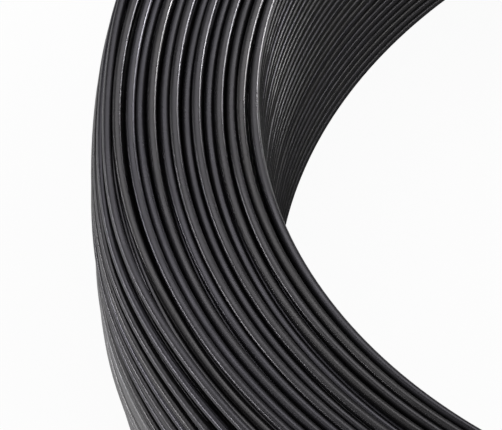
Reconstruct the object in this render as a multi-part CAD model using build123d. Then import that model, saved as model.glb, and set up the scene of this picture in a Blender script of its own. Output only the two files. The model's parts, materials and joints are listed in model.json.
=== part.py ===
import os
from math import asin, cos, pi, sin, tan

from build123d import *

# A coil of soft black binding wire, lying flat. Millimetres, with the coil's axis on Z and the ground
# at z = 0. It is one length of wire, so it is one turned solid: the section of the whole stack of turns
# is drawn once and turned round the axis. The turns show on both flat ends, on the bulging outside, and
# on the straight wall that the winding drum leaves in the bore.

# The wire, and how closely it is laid.
wire_diameter = 1.6
turn_gap = 0.05  # between neighbouring turns of one layer, along the axis
layer_gap = 0.24  # between neighbouring layers, along the radius

# The coil.
bore_diameter = 200.0
turn_count = 28  # turns in a layer, from the lower end to the upper
layer_count = 14  # layers that show on each end
layer_step = 0.45  # how far short of the end every second layer stops, from the bore layer on
bulge = 3.3  # how much further out the outside stands at half height than at its shoulders

# A turn is drawn as three sides of an octagon round the wire: a flat crest and two slopes.
crest_width = wire_diameter * tan(pi / 8)
slope_width = (wire_diameter - crest_width) / 2

wire_radius = wire_diameter / 2
turn_pitch = wire_diameter + turn_gap
layer_pitch = wire_diameter + layer_gap
bore_radius = bore_diameter / 2
first_layer = bore_radius + wire_radius
last_layer = first_layer + (layer_count - 1) * layer_pitch
coil_height = turn_count * turn_pitch - turn_gap
middle = coil_height / 2

# The crests of the last layer lie on an arc, widest at half height.
shoulder_height = middle - wire_radius
crown_radius = (shoulder_height**2 + bulge**2) / (2 * bulge) + wire_radius
crown_centre = last_layer + wire_radius + bulge - crown_radius


def end_profile():
    """The upper end from the bore to the last layer's crest, as points across and up from half height."""
    crests = [middle - (0.0 if layer % 2 else layer_step) for layer in range(layer_count)]
    points = [(bore_radius, crests[0] - slope_width)]
    for layer, crest in enumerate(crests):
        centre = first_layer + layer * layer_pitch
        if layer:
            # Two slopes at 45 degrees meet in the groove between this turn and the last one.
            last_crest = crests[layer - 1]
            drop = (layer_pitch - crest_width + last_crest - crest) / 2
            points.append((centre - layer_pitch + crest_width / 2 + drop, last_crest - drop))
        points += [(centre - crest_width / 2, crest), (centre + crest_width / 2, crest)]
    return points


def outside_profile():
    """The last layer's turns from the upper shoulder to the lower one, as points across and up."""
    highest = asin(shoulder_height / (crown_radius - wire_radius))
    between = 2 * highest / (turn_count - 1)
    half_turn = tan(between / 2)
    depth = (crown_radius * half_turn - crest_width / 2) / (1 + half_turn)

    def on_ray(angle, out, along=0.0):
        return (crown_centre + out * cos(angle) - along * sin(angle), out * sin(angle) + along * cos(angle))

    points = []
    for turn in range(turn_count):
        angle = highest - turn * between
        if turn:
            points.append(on_ray(angle + between / 2, (crown_radius - depth) / cos(between / 2)))
        points += [on_ray(angle, crown_radius, side * crest_width / 2) for side in (1, -1)]
    return points


def bore_profile():
    """The first layer's turns from the lowest to the highest, between the two ends' first points."""
    highest = middle - layer_step - wire_radius
    between = 2 * highest / (turn_count - 1)
    depth = (between - crest_width) / 2
    points = []
    for turn in range(turn_count):
        up = turn * between - highest
        if turn:
            points.append((bore_radius + depth, up - between / 2))
        points += [(bore_radius, up - crest_width / 2), (bore_radius, up + crest_width / 2)]
    return points[1:-1]


def coil_section():
    """Both ends, the outside and the bore as one closed outline, standing on the ground."""
    upper = end_profile()
    lower = [(across, -up) for across, up in reversed(upper)]
    outline = Polyline(*upper, *outside_profile(), *lower, *bore_profile(), close=True)
    return Pos(0, middle) * make_face(outline)


def wire_coil():
    """The whole coil: its section turned once round the axis, which leaves the bore open."""
    return revolve(Plane.XZ * coil_section(), Axis.Z)


os.makedirs("parts", exist_ok=True)
export_step(wire_coil(), "parts/wire_coil.step")
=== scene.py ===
import json
from math import cos, pi, radians, sin

import bpy
import numpy as np
from mathutils import Matrix, Vector


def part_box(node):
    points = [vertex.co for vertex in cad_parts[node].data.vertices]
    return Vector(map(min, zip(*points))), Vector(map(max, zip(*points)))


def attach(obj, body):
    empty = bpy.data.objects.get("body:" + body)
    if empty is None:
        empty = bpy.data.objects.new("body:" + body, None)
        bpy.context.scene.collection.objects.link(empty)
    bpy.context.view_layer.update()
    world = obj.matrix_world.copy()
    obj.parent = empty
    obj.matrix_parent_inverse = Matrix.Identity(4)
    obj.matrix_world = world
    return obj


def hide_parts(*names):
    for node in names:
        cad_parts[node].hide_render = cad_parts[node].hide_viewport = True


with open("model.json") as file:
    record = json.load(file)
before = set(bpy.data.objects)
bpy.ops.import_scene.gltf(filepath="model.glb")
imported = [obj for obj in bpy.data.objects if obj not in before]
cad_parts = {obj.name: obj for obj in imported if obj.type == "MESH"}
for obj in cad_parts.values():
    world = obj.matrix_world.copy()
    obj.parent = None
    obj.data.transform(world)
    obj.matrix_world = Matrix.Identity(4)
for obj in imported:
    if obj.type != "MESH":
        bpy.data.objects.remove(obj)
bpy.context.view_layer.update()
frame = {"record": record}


# The bore's wall. The coil is one length of soft steel wire, drawn, annealed black, and wound on a drum from
# the lower end up, one turn beside the other. At each end the wire steps out onto the turns below and goes
# back, fourteen layers in all. This is the first of them, which the drum kept round and regular.
wire_diameter = 0.0016
wire_radius = wire_diameter / 2
turns_in_layer = 28
end_turn = turns_in_layer - 1
layers = 14
layer_pitch = 0.00184

low_corner, high_corner = (Vector(corner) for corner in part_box("wire_coil"))
outside_radius = (high_corner.x - low_corner.x) / 2
bore_radius = frame["record"]["mounts"][0]["dims"]["r_mm"] / 1000
first_layer = bore_radius + wire_radius
last_layer = first_layer + (layers - 1) * layer_pitch
lowest_turn = low_corner.z + wire_radius
highest_turn = high_corner.z - wire_radius
half_height = (lowest_turn + highest_turn) / 2
turn_pitch = (highest_turn - lowest_turn) / end_turn

# The last two layers bulge between their shoulders. The very last one wasn't filled: thirteen turns lie side
# by side at its foot, and further up they are in loose groups with the layer under them showing through.
bulge = outside_radius - wire_radius - last_layer
reach = highest_turn - half_height
fullness = 2.8
tight_pitch = 0.00168
foot_turns = 13
loose_heights = [0.0237, 0.0274, 0.02905, 0.0307, 0.0332, 0.0356, 0.0388, 0.0419, 0.0450]
last_heights = [wire_radius + turn * tight_pitch for turn in range(foot_turns)] + loose_heights
turns_in_last_layer = len(last_heights)

# How far the end turns of each layer lie inside the coil's upper end, and how far they slipped out from their
# even place, from the bore outwards. Both fade towards half height, and the lower end is more even.
end_sink = [0.0002, 0.0001, 0.0006, 0.0003, 0.0012, 0.0, 0.0008, 0.0,
            0.0002, 0.0002, 0.0006, 0.0001, 0.0, 0.0003]
end_slip = [0.0, -0.0004, 0.0, 0.0, 0.0, 0.0, -0.0003, -0.0003,
            -0.0002, -0.0002, -0.0004, -0.0005, -0.0003, 0.0]
lower_end_share = 0.4
settled_turns = 12

# Places where a layer's end turn slipped: the layer, where on the circle and over how far (degrees), how far
# down and how far out. The outside turns gave way in or out as one at a few places, too.
slips_on_upper_end = [(12, 216, 13, 0.0015, -0.0002), (2, 206, 16, -0.0006, 0.0003),
                      (1, 190, 14, 0.0005, 0.0002), (9, 200, 12, 0.0004, 0.0), (10, 180, 9, 0.0003, 0.0),
                      (11, 285, 20, 0.0012, 0.0), (5, 330, 18, 0.0011, 0.0), (8, 30, 16, 0.0013, 0.0),
                      (12, 75, 14, 0.0009, 0.0), (3, 110, 20, 0.0008, 0.0002), (7, 140, 10, 0.0007, 0.0)]
slips_on_lower_end = [(7, 40, 15, 0.0009, 0.0), (10, 120, 18, 0.0011, 0.0), (4, 200, 16, 0.0009, 0.0),
                      (12, 260, 14, 0.0010, 0.0), (2, 310, 15, 0.0007, 0.0)]
gives_outside = [(169, 9, 0.0006), (184, 11, -0.0009), (200, 9, 0.0004), (212, 9, -0.0004),
                 (228, 12, 0.0003), (262, 12, -0.0005), (305, 10, 0.0004), (345, 9, -0.0005),
                 (30, 12, 0.0004), (80, 10, -0.0006), (125, 12, 0.0003)]
most_give = 0.0006

# Each turn is followed at this many stations round the coil, and crosses to the next turn over the last share
# of them. The wire has slack: it drifts a little over short and over long stretches of stations.
stations = 288
step_starts, step_ends = 0.72, 0.98
short_drift, short_slack = 14, 0.00008
long_drift, long_slack = 50, 0.00017
slack_on_drum = 0.25

# Then it settles, in the first and last layers and in so many turns from each end. In each round, turns that
# overlap push apart, and at first the wire is also drawn back to its place and straightened by its stiffness.
rounds, rounds_drawn_back = 140, 110
touching = 1.01 * wire_diameter
within_touch = 2.6 * wire_diameter
turns_to_settle = 3
push_apart, draw_back, stiffness = 0.3, 0.04, 0.25

# The wire was cut off so many stations before the end of its last turn, and that end springs out a little.
cut_short = 92
springy = 14
spring_out = 0.0014


def outside_at(up):
    """How far from the axis the last layer lies at a height."""
    return last_layer + bulge * (1 - np.clip(np.abs(up - half_height) / reach, 0, 1)**fullness)


def near(angle, centre, spread):
    """One at the centre, fading to nothing over the spread: angles round the coil, in degrees."""
    return np.exp(-(((angle - centre + 180) % 360 - 180) / spread) ** 2)


def give_at(angle):
    """How far out or in the outside turns gave way, round the coil."""
    return sum(out * near(angle, centre, spread) for centre, spread, out in gives_outside)


def place_in_stack(layer, turn):
    """Where a turn lies in the stack, as distance from the axis and height."""
    if layer == layers - 1:
        return outside_at(last_heights[turn]), last_heights[turn]
    across = first_layer + layer * layer_pitch
    up = lowest_turn + turn * turn_pitch
    if layer == layers - 2:
        across = outside_at(up) - layer_pitch
    for turns_away, inwards in ((end_turn - turn, -1), (turn, lower_end_share)):
        share = max(0.0, 1 - turns_away / settled_turns)
        up += inwards * end_sink[layer] * share
        across += max(-inwards, 0) * end_slip[layer] * share
    return across, up


# Layer and turn all along the wire: up one layer and down the next.
order = []
for layer in range(layers):
    turns = range(turns_in_layer if layer < layers - 1 else turns_in_last_layer)
    order += [(layer, turn) for turn in (turns if layer % 2 == 0 else reversed(turns))]


def slow_drift(count, stretch, size, rng):
    """Slow random drift along the wire, the same in strength everywhere."""
    noise = rng.normal(size=(2, count))
    rate = np.fft.rfftfreq(count)
    slow = np.fft.irfft(np.fft.rfft(noise) * np.exp(-0.5 * (2 * pi * rate * stretch) ** 2), n=count)
    return (size * slow / slow.std(axis=1, keepdims=True)).T


def loosely_wound(stack):
    """The wire's centre at every station before it settles: the even stack, with slack, slips and gives."""
    rng = np.random.default_rng(7)
    along = np.arange(stations) / stations
    step = np.clip((along - step_starts) / (step_ends - step_starts), 0, 1)
    step = step * step * (3 - 2 * step)
    following = np.vstack([stack[1:], stack[-1:]])
    wound = stack[:, None] + (following - stack)[:, None] * step[None, :, None]
    slack = slow_drift(wound.shape[0] * stations, short_drift, short_slack, rng)
    slack += slow_drift(wound.shape[0] * stations, long_drift, long_slack, rng)
    slack = slack.reshape(wound.shape)
    slack[:turns_in_layer] *= slack_on_drum
    wound += slack
    for slips, turn, downwards in ((slips_on_upper_end, end_turn, -1), (slips_on_lower_end, 0, 1)):
        for layer, centre, spread, down, out in slips:
            slipped = wound[order.index((layer, turn))]
            slipped[:, 0] += out * near(360 * along, centre, spread)
            slipped[:, 1] += downwards * down * near(360 * along, centre, spread)
    wound[-turns_in_last_layer:, :, 0] += give_at(360 * along)
    return wound


def neighbours(stack):
    """Pairs of turns that could touch, among those near the coil's faces."""
    settling = [k for k, (layer, turn) in enumerate(order)
                if layer in (0, layers - 1) or min(turn, end_turn - turn) < turns_to_settle]
    pairs = [(k, other) for a, k in enumerate(settling) for other in settling[a + 1:]
             if np.abs(stack[k] - stack[other]).max() < within_touch]
    return np.array(pairs).T


def lay_wire():
    """The wire's centre at every station, settled."""
    stack = np.array([place_in_stack(*cell) for cell in order])
    first, second = neighbours(stack)
    wound = loosely_wound(stack)
    laid = wound.copy()
    for rounds_done in range(rounds):
        apart = laid[second] - laid[first]
        length = np.linalg.norm(apart, axis=2, keepdims=True)
        push = np.clip(touching - length, 0, None) / length * apart * push_apart
        np.add.at(laid, second, push)
        np.add.at(laid, first, -push)
        if rounds_done < rounds_drawn_back:
            laid += draw_back * (wound - laid)
            wire = laid.reshape(-1, 2)
            wire[1:-1] += stiffness * (wire[:-2] - 2 * wire[1:-1] + wire[2:])
        laid[..., 0] = np.maximum(laid[..., 0], first_layer)
        laid[..., 1] = np.clip(laid[..., 1], lowest_turn, highest_turn)
        last = laid[-turns_in_last_layer:]
        last[..., 0] = np.minimum(last[..., 0], outside_at(last[..., 1]) + most_give)
    sprung = laid.reshape(-1, 2)[-cut_short - springy:-cut_short]
    sprung[:, 0] += spring_out * np.linspace(0, 1, springy) ** 2
    return laid


laid = lay_wire()


def strand(first_turn, last_turn):
    """The wire's centre line over whole turns, with one station more so that the next strand joins on."""
    wire = laid.reshape(-1, 2)
    start, end = first_turn * stations, min((last_turn + 1) * stations + 1, len(wire) - cut_short)
    return wire[start:end, 0], wire[start:end, 1], 2 * pi * np.arange(start, end) / stations


def strands_where(wanted):
    """Strands of the turns for which wanted(layer, turn) holds. Turns that follow each other make one strand."""
    runs = []
    for k, cell in enumerate(order):
        if wanted(*cell):
            if runs and runs[-1][1] == k - 1:
                runs[-1][1] = k
            else:
                runs.append([k, k])
    return [strand(a, b) for a, b in runs]


def round_the_axis(across, up, angle):
    """Points at these distances from the coil's axis, heights and angles."""
    return np.stack([across * np.cos(angle)[:, None], across * np.sin(angle)[:, None],
                     np.broadcast_to(up, across.shape)], axis=2)


def mesh_through(name, rings):
    """A mesh through rows of closed rings of points, with the way along the wire and round it as UVs."""
    verts, quads, uvs = [], [], []
    base = 0
    for points, run in rings:
        count, sides = points.shape[:2]
        i, j = np.meshgrid(np.arange(count - 1), np.arange(sides), indexing="ij")
        following = (j + 1) % sides
        verts.append(points.reshape(-1, 3))
        quads.append(base + np.stack([i * sides + j, i * sides + following,
                                      (i + 1) * sides + following, (i + 1) * sides + j], axis=2).reshape(-1, 4))
        along = np.stack([run[i], run[i], run[i + 1], run[i + 1]], axis=2)
        around = np.stack([j, j + 1, j + 1, j], axis=2) / sides
        uvs.append(np.stack([along, around], axis=3).reshape(-1, 2))
        base += count * sides
    verts, quads, uvs = np.vstack(verts), np.vstack(quads), np.vstack(uvs)
    mesh = bpy.data.meshes.new(name)
    mesh.vertices.add(len(verts))
    mesh.vertices.foreach_set("co", verts.ravel())
    mesh.loops.add(quads.size)
    mesh.loops.foreach_set("vertex_index", quads.ravel())
    mesh.polygons.add(len(quads))
    mesh.polygons.foreach_set("loop_start", np.arange(len(quads)) * 4)
    mesh.polygons.foreach_set("use_smooth", np.ones(len(quads), dtype=bool))
    mesh.uv_layers.new(name="along_the_wire").data.foreach_set("uv", uvs.ravel())
    mesh.update(calc_edges=True)
    mesh.validate()
    return mesh


wire_sides = 12
girth = 2 * pi * np.arange(wire_sides) / wire_sides


def round_wire(name, strands):
    """A mesh of round wire along each strand."""
    rings = []
    for across, up, angle in strands:
        ring_across = across[:, None] + wire_radius * np.cos(girth)
        ring_up = up[:, None] + wire_radius * np.sin(girth)
        rings.append((round_the_axis(ring_across, ring_up, angle), angle * bore_radius))
    return mesh_through(name, rings)


def node(tree, kind, *inputs, **settings):
    """A node with its settings, and its inputs in order as values, outputs to link from, or None to skip."""
    made = tree.nodes.new(kind)
    for setting, value in settings.items():
        setattr(made, setting, value)
    for socket, value in zip(made.inputs, inputs):
        if isinstance(value, bpy.types.NodeSocket):
            tree.links.new(value, socket)
        elif value is not None:
            socket.default_value = value
    return made


def worked(tree, operation, *values):
    """The outcome of a sum."""
    return node(tree, "ShaderNodeMath", *values, operation=operation).outputs[0]


def ranged(tree, value, low, high, to_low, to_high):
    """A value brought from one range to another, and held there."""
    return node(tree, "ShaderNodeMapRange", value, low, high, to_low, to_high).outputs[0]


def blended(tree, share, tone, other):
    """A share of the other tone in the first."""
    return node(tree, "ShaderNodeMix", share, *[None] * 5, tone, other, data_type="RGBA").outputs[2]


def relief(tree, height, strength, depth):
    """The normal of a fine relief, which is at most so deep in metres."""
    bump = node(tree, "ShaderNodeBump")
    bump.inputs["Strength"].default_value = strength
    bump.inputs["Distance"].default_value = depth
    tree.links.new(height, bump.inputs["Height"])
    return bump.outputs[0]


def black_oxide_skin():
    """The skin of drawn wire that was annealed black, laid out by the way along the wire and round it. It has
    two tones that change slowly from turn to turn, die lines that run with the wire and are rubbed lighter,
    clouds in the shine, and fine grain."""
    skin = bpy.data.node_groups.new("black_oxide_skin", "ShaderNodeTree")
    for name, kind in (("Cool Tone", "Color"), ("Warm Tone", "Color"), ("Rubbed Tone", "Color"),
                       ("Smoothest", "Float"), ("Roughest", "Float")):
        skin.interface.new_socket(name, in_out="INPUT", socket_type="NodeSocket" + kind)
    for name, kind in (("Base Color", "Color"), ("Roughness", "Float"), ("Height", "Float")):
        skin.interface.new_socket(name, in_out="OUTPUT", socket_type="NodeSocket" + kind)
    given = node(skin, "NodeGroupInput").outputs
    laid_out = node(skin, "ShaderNodeUVMap", uv_map="along_the_wire").outputs[0]
    along, around, _ = node(skin, "ShaderNodeSeparateXYZ", laid_out).outputs
    turned = worked(skin, "MULTIPLY", around, 2 * pi)
    cosine, sine = worked(skin, "COSINE", turned), worked(skin, "SINE", turned)

    def marks(per_metre, round_the_wire, detail):
        """Noise that closes round the wire, which is a circle of this radius in the noise."""
        where = node(skin, "ShaderNodeCombineXYZ", worked(skin, "MULTIPLY", cosine, round_the_wire),
                     worked(skin, "MULTIPLY", sine, round_the_wire),
                     worked(skin, "MULTIPLY", along, per_metre)).outputs[0]
        noise = node(skin, "ShaderNodeTexNoise", where)
        noise.inputs["Scale"].default_value = 1.0
        noise.inputs["Detail"].default_value = detail
        return noise.outputs[0]

    # How many of each in a metre of wire, how much they change round it, and how fine they go.
    die_lines = marks(9.0, 2.6, 3.0)
    clouds = marks(150.0, 0.6, 4.0)
    grain = marks(2600.0, 2.1, 2.0)
    turn_tone = marks(2.3, 0.05, 1.0)

    oxide = blended(skin, ranged(skin, turn_tone, 0.42, 0.58, 0, 1), given["Cool Tone"], given["Warm Tone"])
    rubbed = worked(skin, "MULTIPLY", ranged(skin, die_lines, 0.56, 0.7, 0, 1),
                    ranged(skin, clouds, 0.45, 0.65, 0.2, 0.8))
    node(skin, "NodeGroupOutput", blended(skin, rubbed, oxide, given["Rubbed Tone"]),
         ranged(skin, clouds, 0.35, 0.65, given["Smoothest"], given["Roughest"]),
         worked(skin, "MULTIPLY_ADD", die_lines, 0.5, grain))
    return skin


oxide_skin = black_oxide_skin()


def new_finish(name):
    """A new material, with its nodes and its shader."""
    finish = bpy.data.materials.new(name)
    finish.use_nodes = True
    return finish, finish.node_tree, finish.node_tree.nodes["Principled BSDF"]


def oxide_black(name, cool_tone, warm_tone, rubbed_tone, smoothest, roughest, edge_shine):
    """Black annealing oxide, thin enough to shine as metal does, and duller towards the edges of the wire."""
    finish, tree, shader = new_finish(name)
    shader.inputs["Metallic"].default_value = 0.88
    shader.inputs["Specular Tint"].default_value = (edge_shine, edge_shine, edge_shine, 1)
    tones = [(*tone, 1) for tone in (cool_tone, warm_tone, rubbed_tone)]
    skin = node(tree, "ShaderNodeGroup", *tones, smoothest, roughest, node_tree=oxide_skin)
    tree.links.new(skin.outputs["Base Color"], shader.inputs["Base Color"])
    tree.links.new(skin.outputs["Roughness"], shader.inputs["Roughness"])
    tree.links.new(relief(tree, skin.outputs["Height"], 0.45, 0.00004), shader.inputs["Normal"])
    return finish


def place_piece(mesh, *finishes):
    """Puts a piece of the wire in the scene, in its finishes, in place of the CAD coil."""
    piece = bpy.data.objects.new(mesh.name, mesh)
    bpy.context.scene.collection.objects.link(piece)
    for finish in finishes:
        piece.data.materials.append(finish)
    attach(piece, "root")
    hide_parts("wire_coil")


# The bore's turns get an oxide darker than the rest of the wire. This is painted shade, for the shade that lies
# down the bore and between the layers.
bore_painted_shade = oxide_black("bore_oxide_painted_shade", (0.025, 0.0243, 0.0265), (0.0255, 0.025, 0.0253),
                        (0.036, 0.0355, 0.036), 0.26, 0.36, 0.1)
place_piece(round_wire("bore_turns", strands_where(
    lambda layer, turn: layer == 0 and turn < end_turn)), bore_painted_shade)


# The buried layers. They are the same wire, and only shadowed ridges of it can be glimpsed between the outer
# turns, so they are one turned body with a ridge for each turn that faces outwards.
turns_deep = 2
core_stations = 120
ridge_points = np.array([20, 67, 113, 160])


def ridge(layer, turn, starts):
    """A turn's outward half, as points that follow each other round the section."""
    across, up = place_in_stack(layer, turn)
    around = np.radians(starts + ridge_points)
    return [(across + wire_radius * cos(a), up + wire_radius * sin(a)) for a in around]


def buried_turns():
    """The section of the core turned once round the axis. Its outer ridges give way as the turns on them do."""
    top = end_turn - turns_deep
    section = []
    for turn in range(turns_deep, top + 1):
        section += ridge(layers - 2, turn, -90)
    outer = len(section)
    for layer in range(layers - 2, 0, -1):
        section += ridge(layer, top, 0)
    for turn in range(top, turns_deep - 1, -1):
        section += ridge(1, turn, 90)
    for layer in range(1, layers - 1):
        section += ridge(layer, turns_deep, 180)
    section = np.array(section)
    angle = 2 * pi * np.arange(core_stations + 1) / core_stations
    across = section[:, 0] + give_at(np.degrees(angle))[:, None] * (np.arange(len(section)) < outer)
    return mesh_through("buried_turns", [(round_the_axis(across, section[:, 1], angle), angle * bore_radius)])


# The buried turns take the bore's darker finish, which is painted shade.
place_piece(buried_turns(), bore_painted_shade)


# The turns on the two flat ends, two deep, of the same wire, with the bore layer's top turn. Where the winding
# turned back, nothing holds the last turns of each layer, so they lie a little high or low and wander.
wire_black = oxide_black("black_annealed_oxide", (0.056, 0.054, 0.062), (0.058, 0.056, 0.058),
                         (0.085, 0.083, 0.085), 0.24, 0.34, 0.7)
place_piece(round_wire("lower_end_turns", strands_where(
    lambda layer, turn: 0 < layer < layers - 1 and turn <= 1)), wire_black)
place_piece(round_wire("upper_end_turns", strands_where(
    lambda layer, turn: layer < layers - 1 and turn >= end_turn - (layer > 0))), wire_black)


# The last layer, which is the bulging outside of the coil. Its upper turns lie loose on the layer under them.
# The tight turns at its foot are painted paler. This is a painted sheen that stands in for the light they
# reflect.
foot_painted_sheen = oxide_black("foot_oxide_painted_sheen", (0.12, 0.118, 0.124), (0.13, 0.127, 0.128), (0.19, 0.188, 0.19),
                          0.3, 0.42, 0.9)
place_piece(round_wire("outside_turns", strands_where(
    lambda layer, turn: layer == layers - 1 and turn >= foot_turns)), wire_black)
place_piece(round_wire("foot_turns", strands_where(
    lambda layer, turn: layer == layers - 1 and turn < foot_turns)), foot_painted_sheen)


# The wire's two free ends, nipped off with side cutters: each narrows to a blunt edge, and the cut is bare
# bright steel. The first one starts at the bottom of the bore, and the last one springs out at the foot of
# the outside. The nip is given as how far on it is, and how much of the wire's height is left there.
nip = ((0.0, 1.0), (0.0005, 0.82), (0.0008, 0.35))


def bare_steel():
    """Freshly cut steel, with the fine ridges that a cutter's jaws leave."""
    finish, tree, shader = new_finish("cut_steel")
    shader.inputs["Metallic"].default_value = 1.0
    jaw_ridges = node(tree, "ShaderNodeTexNoise", node(tree, "ShaderNodeTexCoord").outputs["Object"])
    jaw_ridges.inputs["Scale"].default_value = 4000
    ridges = jaw_ridges.outputs[0]
    cut_tone = blended(tree, ridges, (0.26, 0.26, 0.27, 1), (0.44, 0.43, 0.42, 1))
    tree.links.new(cut_tone, shader.inputs["Base Color"])
    tree.links.new(ranged(tree, ridges, 0.3, 0.7, 0.25, 0.45), shader.inputs["Roughness"])
    tree.links.new(relief(tree, ridges, 0.5, 0.00003), shader.inputs["Normal"])
    return finish


def cut_ends():
    """Both ends: a short taper in the wire's own skin, and the cut across it."""
    verts, faces = [], []
    for station, onwards in ((0, -1), (len(laid) * stations - cut_short - 1, 1)):
        across, up = laid.reshape(-1, 2)[station]
        angle = 2 * pi * station / stations
        base = len(verts)
        for further, height in nip:
            for a in girth:
                out = across + wire_radius * cos(a)
                verts.append((out * cos(angle) - onwards * further * sin(angle),
                              out * sin(angle) + onwards * further * cos(angle),
                              up + wire_radius * height * sin(a)))
        for ring in range(len(nip) - 1):
            for side in range(wire_sides):
                a, b = base + ring * wire_sides + side, base + ring * wire_sides + (side + 1) % wire_sides
                faces.append((a, b, b + wire_sides, a + wire_sides)[::onwards])
        faces.append(tuple(range(len(verts) - wire_sides, len(verts)))[::onwards])
    mesh = bpy.data.meshes.new("cut_ends")
    mesh.from_pydata(verts, [], faces)
    skin = mesh.uv_layers.new(name="along_the_wire")
    for loop in mesh.loops:
        skin.data[loop.index].uv = (verts[loop.vertex_index][0], loop.vertex_index % wire_sides / wire_sides)
    for face in mesh.polygons:
        on_the_taper = len(face.vertices) == 4
        face.use_smooth = on_the_taper
        face.material_index = 0 if on_the_taper else 1
    return mesh


place_piece(cut_ends(), wire_black, bare_steel())


# The ground that the coil lies on: a plain white floor. The camera and the wire's shine see nearly all of it
# as plain white, and the rest of it keeps the coil's shadow.
half_floor = 30.0
plain_white = 0.94
floor_mesh = bpy.data.meshes.new("floor")
floor_mesh.from_pydata([(-half_floor, -half_floor, 0), (half_floor, -half_floor, 0),
                        (half_floor, half_floor, 0), (-half_floor, half_floor, 0)], [], [(0, 1, 2, 3)])
floor = bpy.data.objects.new("floor", floor_mesh)
bpy.context.scene.collection.objects.link(floor)
white, tree, shader = new_finish("white_floor")
shader.inputs["Base Color"].default_value = (0.95, 0.95, 0.95, 1)
shader.inputs["Roughness"].default_value = 0.9
seen_by = node(tree, "ShaderNodeLightPath").outputs
seen = worked(tree, "ADD", worked(tree, "ADD", seen_by["Is Camera Ray"], seen_by["Is Glossy Ray"]),
              seen_by["Is Transmission Ray"])
shining = node(tree, "ShaderNodeEmission")
shining.inputs["Strength"].default_value = 1.0
ground = node(tree, "ShaderNodeMixShader", worked(tree, "MULTIPLY", seen, plain_white), shader.outputs[0],
              shining.outputs[0])
tree.links.new(ground.outputs[0], tree.nodes["Material Output"].inputs["Surface"])
floor_mesh.materials.append(white)


# The light: a dim white room, and soft boxes round the coil. Each is turned (degrees) to the right of straight
# behind the coil, raised above the floor, and so far away. Then come its width, its height and how it glows.
soft_boxes = {
    "overhead_box": (-6, 50, 1.5, 2.0, 0.5, 2.3),
    "back_box": (25, 34, 1.5, 0.7, 0.3, 1.2),
    "left_box": (-72, 40, 1.4, 0.9, 0.4, 0.9),
    "front_box": (180, 50, 1.5, 2.4, 1.1, 1.2),
    "right_strip": (48, 10, 1.0, 0.28, 0.12, 50),
    "right_box": (80, 18, 1.0, 0.9, 0.14, 11),
    "left_strip": (-77, 6, 1.0, 0.8, 0.09, 17),
}
lit_place = Vector((-0.11, 0, 0.04))
for name, (turned, raised, away, width, height, glow) in soft_boxes.items():
    turned, raised = radians(turned), radians(raised)
    towards = Vector((sin(turned) * cos(raised), cos(turned) * cos(raised), sin(raised)))
    lamp = bpy.data.lights.new(name, "AREA")
    lamp.shape = "RECTANGLE"
    lamp.size, lamp.size_y, lamp.energy = width, height, glow * pi * width * height
    holder = bpy.data.objects.new(name, lamp)
    holder.location = lit_place + away * towards
    holder.rotation_euler = (-towards).to_track_quat("-Z", "Y").to_euler()
    bpy.context.scene.collection.objects.link(holder)

room = bpy.data.worlds.new("studio")
bpy.context.scene.world = room
room.use_nodes = True
room.node_tree.nodes["Background"].inputs["Color"].default_value = (1, 1, 1, 1)
room.node_tree.nodes["Background"].inputs["Strength"].default_value = 0.2


# The camera: a long lens in front of the coil and above it, looking down over the left part of the rim. It is
# held with a slight roll.
photo_width = 502
focal_in_pixels = 5936
camera_place = (0.0090, -0.6911, 0.6908)
yaw, pitch, roll = radians(-9.30), radians(44.17), radians(-5.62)
looks = Vector((sin(yaw) * cos(pitch), cos(yaw) * cos(pitch), -sin(pitch)))
right = looks.cross(Vector((0, 0, 1))).normalized()
up = right.cross(looks)
rolled_right = cos(roll) * right + sin(roll) * up
rolled_up = -sin(roll) * right + cos(roll) * up
lens = bpy.data.cameras.new("camera")
lens.sensor_width = 36
lens.lens = focal_in_pixels / photo_width * lens.sensor_width
lens.clip_end = 20
camera = bpy.data.objects.new("camera", lens)
camera.matrix_world = Matrix.Translation(camera_place) @ Matrix(
    (rolled_right, rolled_up, -looks)).transposed().to_4x4()
bpy.context.scene.collection.objects.link(camera)
bpy.context.scene.camera = camera
bpy.context.scene.view_settings.view_transform = "Standard"
